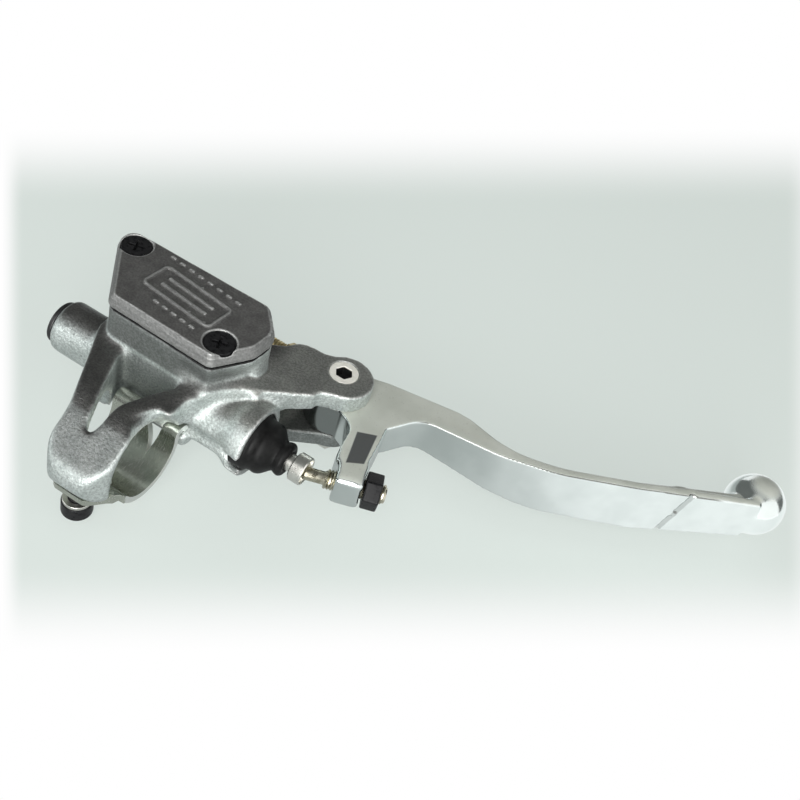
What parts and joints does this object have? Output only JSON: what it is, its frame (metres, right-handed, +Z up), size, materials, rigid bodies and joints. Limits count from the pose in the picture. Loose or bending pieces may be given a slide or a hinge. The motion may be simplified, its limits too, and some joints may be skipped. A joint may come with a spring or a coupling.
{
  "type": "hydraulic brake lever assembly",
  "caption": "Handlebar brake lever with a hydraulic master cylinder, fluid reservoir, hinged steel clamp strap, adjustable pushrod and ball-ended lever.",
  "frame": {"origin": "centre of the handlebar clamp", "axes": "+X outboard along the handlebar, towards the lever's ball; +Y forward, away from the rider; +Z up, square to the reservoir cover"},
  "size_m": [0.2239, 0.1474, 0.0504],
  "materials": {
    "cast_alloy": "grainy shot-blasted casting",
    "cover_alloy": "dark, finely grained casting",
    "polished_alloy": "polished",
    "machined_alloy": "machined",
    "black_steel": "black oxide",
    "zinc_steel": "bright zinc plate",
    "plated_steel": "yellowish zinc plate",
    "spring_steel": "plain",
    "rubber": "matte",
    "black_plastic": "matte",
    "brass": "turned"
  },
  "bodies": {
    "body": {"cylinder_body": "cast_alloy", "reservoir_cover": "cover_alloy", "diaphragm": "rubber", "cover_screws": "black_steel", "clamp_strap": "zinc_steel", "clamp_screw": "black_steel", "clamp_washer": "spring_steel", "hose_port_plug": "black_plastic", "port_baffle": "spring_steel", "pivot_bolt": "plated_steel", "pivot_nut": "zinc_steel", "switch_barrel": "brass", "switch_locknut": "brass", "retaining_ring": "spring_steel", "return_spring": "spring_steel", "dust_boot": "rubber", "thrust_washers": "spring_steel"},
    "piston_group": {"piston": "machined_alloy", "primary_cup": "rubber", "secondary_seal": "rubber", "spring_seat": "machined_alloy", "pushrod": "zinc_steel"},
    "lever_group": {"lever": "polished_alloy", "pivot_bushing": "brass", "adjuster_screw": "plated_steel", "adjuster_locknut": "black_steel"},
    "plunger": {"switch_plunger": "black_plastic"}
  },
  "joints": [
    {"name": "lever_pivot", "type": "hinge", "parent": "body", "child": "lever_group", "pos_m": [0.041, 0.055, 0.003], "axis": [0, 0, -1], "range_deg": [0, 18], "stiffness_Nm_per_rad": 0.6, "springref_deg": -14.32},
    {"name": "piston_slide", "type": "slide", "parent": "body", "child": "piston_group", "axis": [-1, 0, 0], "range_m": [0, 0.0102], "deforming": ["return_spring", "dust_boot"]},
    {"name": "switch_travel", "type": "slide", "parent": "body", "child": "plunger", "axis": [1, 0, 0], "range_m": [0, 0.0011]}
  ],
  "couplings": [
    {"joint": "piston_slide", "follows": "lever_pivot", "m_per_rad": 0.0319},
    {"joint": "switch_travel", "follows": "lever_pivot", "m_per_rad": 0.0032}
  ]
}
